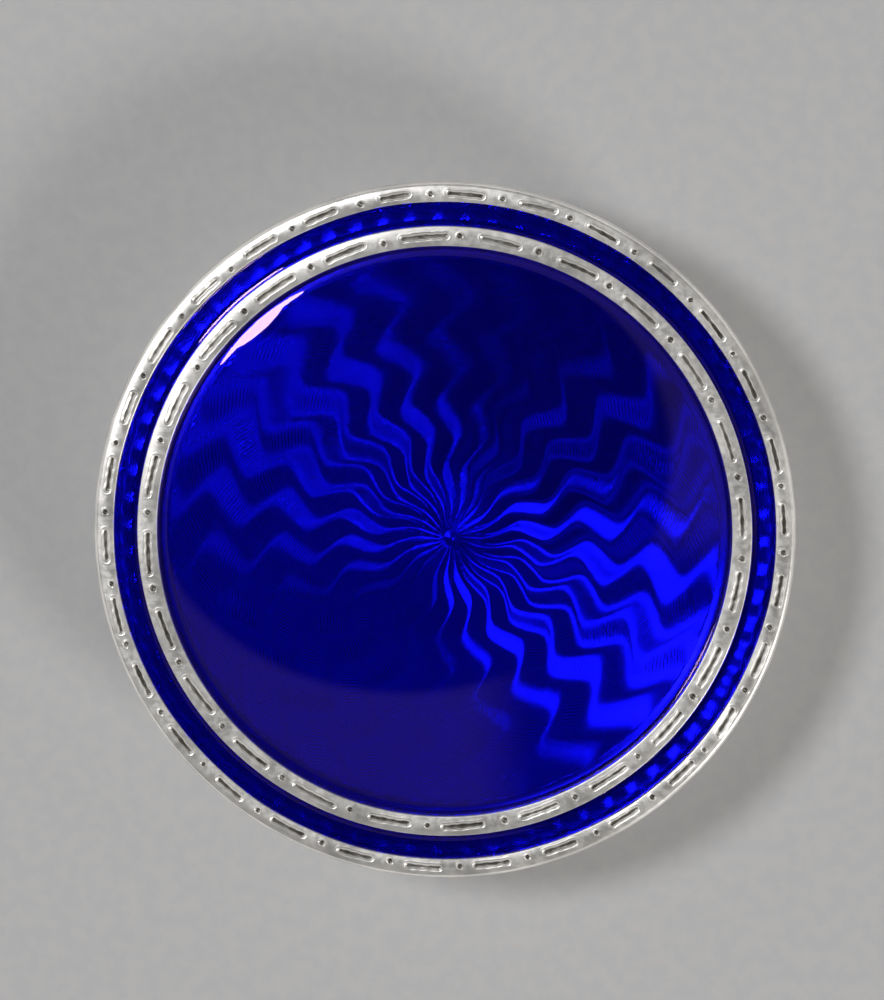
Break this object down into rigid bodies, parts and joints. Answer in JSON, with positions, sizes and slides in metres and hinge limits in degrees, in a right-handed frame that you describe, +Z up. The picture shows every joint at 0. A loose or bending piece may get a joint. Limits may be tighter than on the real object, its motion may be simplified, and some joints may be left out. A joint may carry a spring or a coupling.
{
  "type": "pill box",
  "caption": "Round silver pill box whose hinged lid has a domed blue enamel disc and a blue enamel border between engraved silver rings.",
  "frame": {"origin": "middle of the base, on the surface that the box stands on", "axes": "+Z up through the lid, +Y towards the hinge, +X to the right seen from the front"},
  "size_m": [0.045, 0.045, 0.0134],
  "materials": {
    "silver": "satin",
    "engraved_silver": "satin",
    "engine_turned_silver": "gloss",
    "gilt": "satin",
    "blue_enamel": "polished"
  },
  "bodies": {
    "base": {"base_plate": "gilt", "base_wall": "silver", "base_foot_wire": "silver", "base_bezel": "gilt", "base_hinge_bearer": "silver", "base_hinge_knuckle_left": "silver", "base_hinge_knuckle_centre": "silver", "base_hinge_knuckle_right": "silver", "hinge_pin": "silver"},
    "lid": {"lid_skirt": "silver", "lid_plate": "engine_turned_silver", "lid_outer_rim": "engraved_silver", "lid_inner_ring": "engraved_silver", "centre_enamel": "blue_enamel", "border_enamel": "blue_enamel", "lid_hinge_bearer": "silver", "lid_hinge_knuckle_left": "silver", "lid_hinge_knuckle_right": "silver"}
  },
  "joints": [
    {"name": "lid_hinge", "type": "hinge", "parent": "base", "child": "lid", "pos_m": [0, 0.0213, 0.00802], "axis": [-1, 0, 0], "range_deg": [0, 105]}
  ]
}
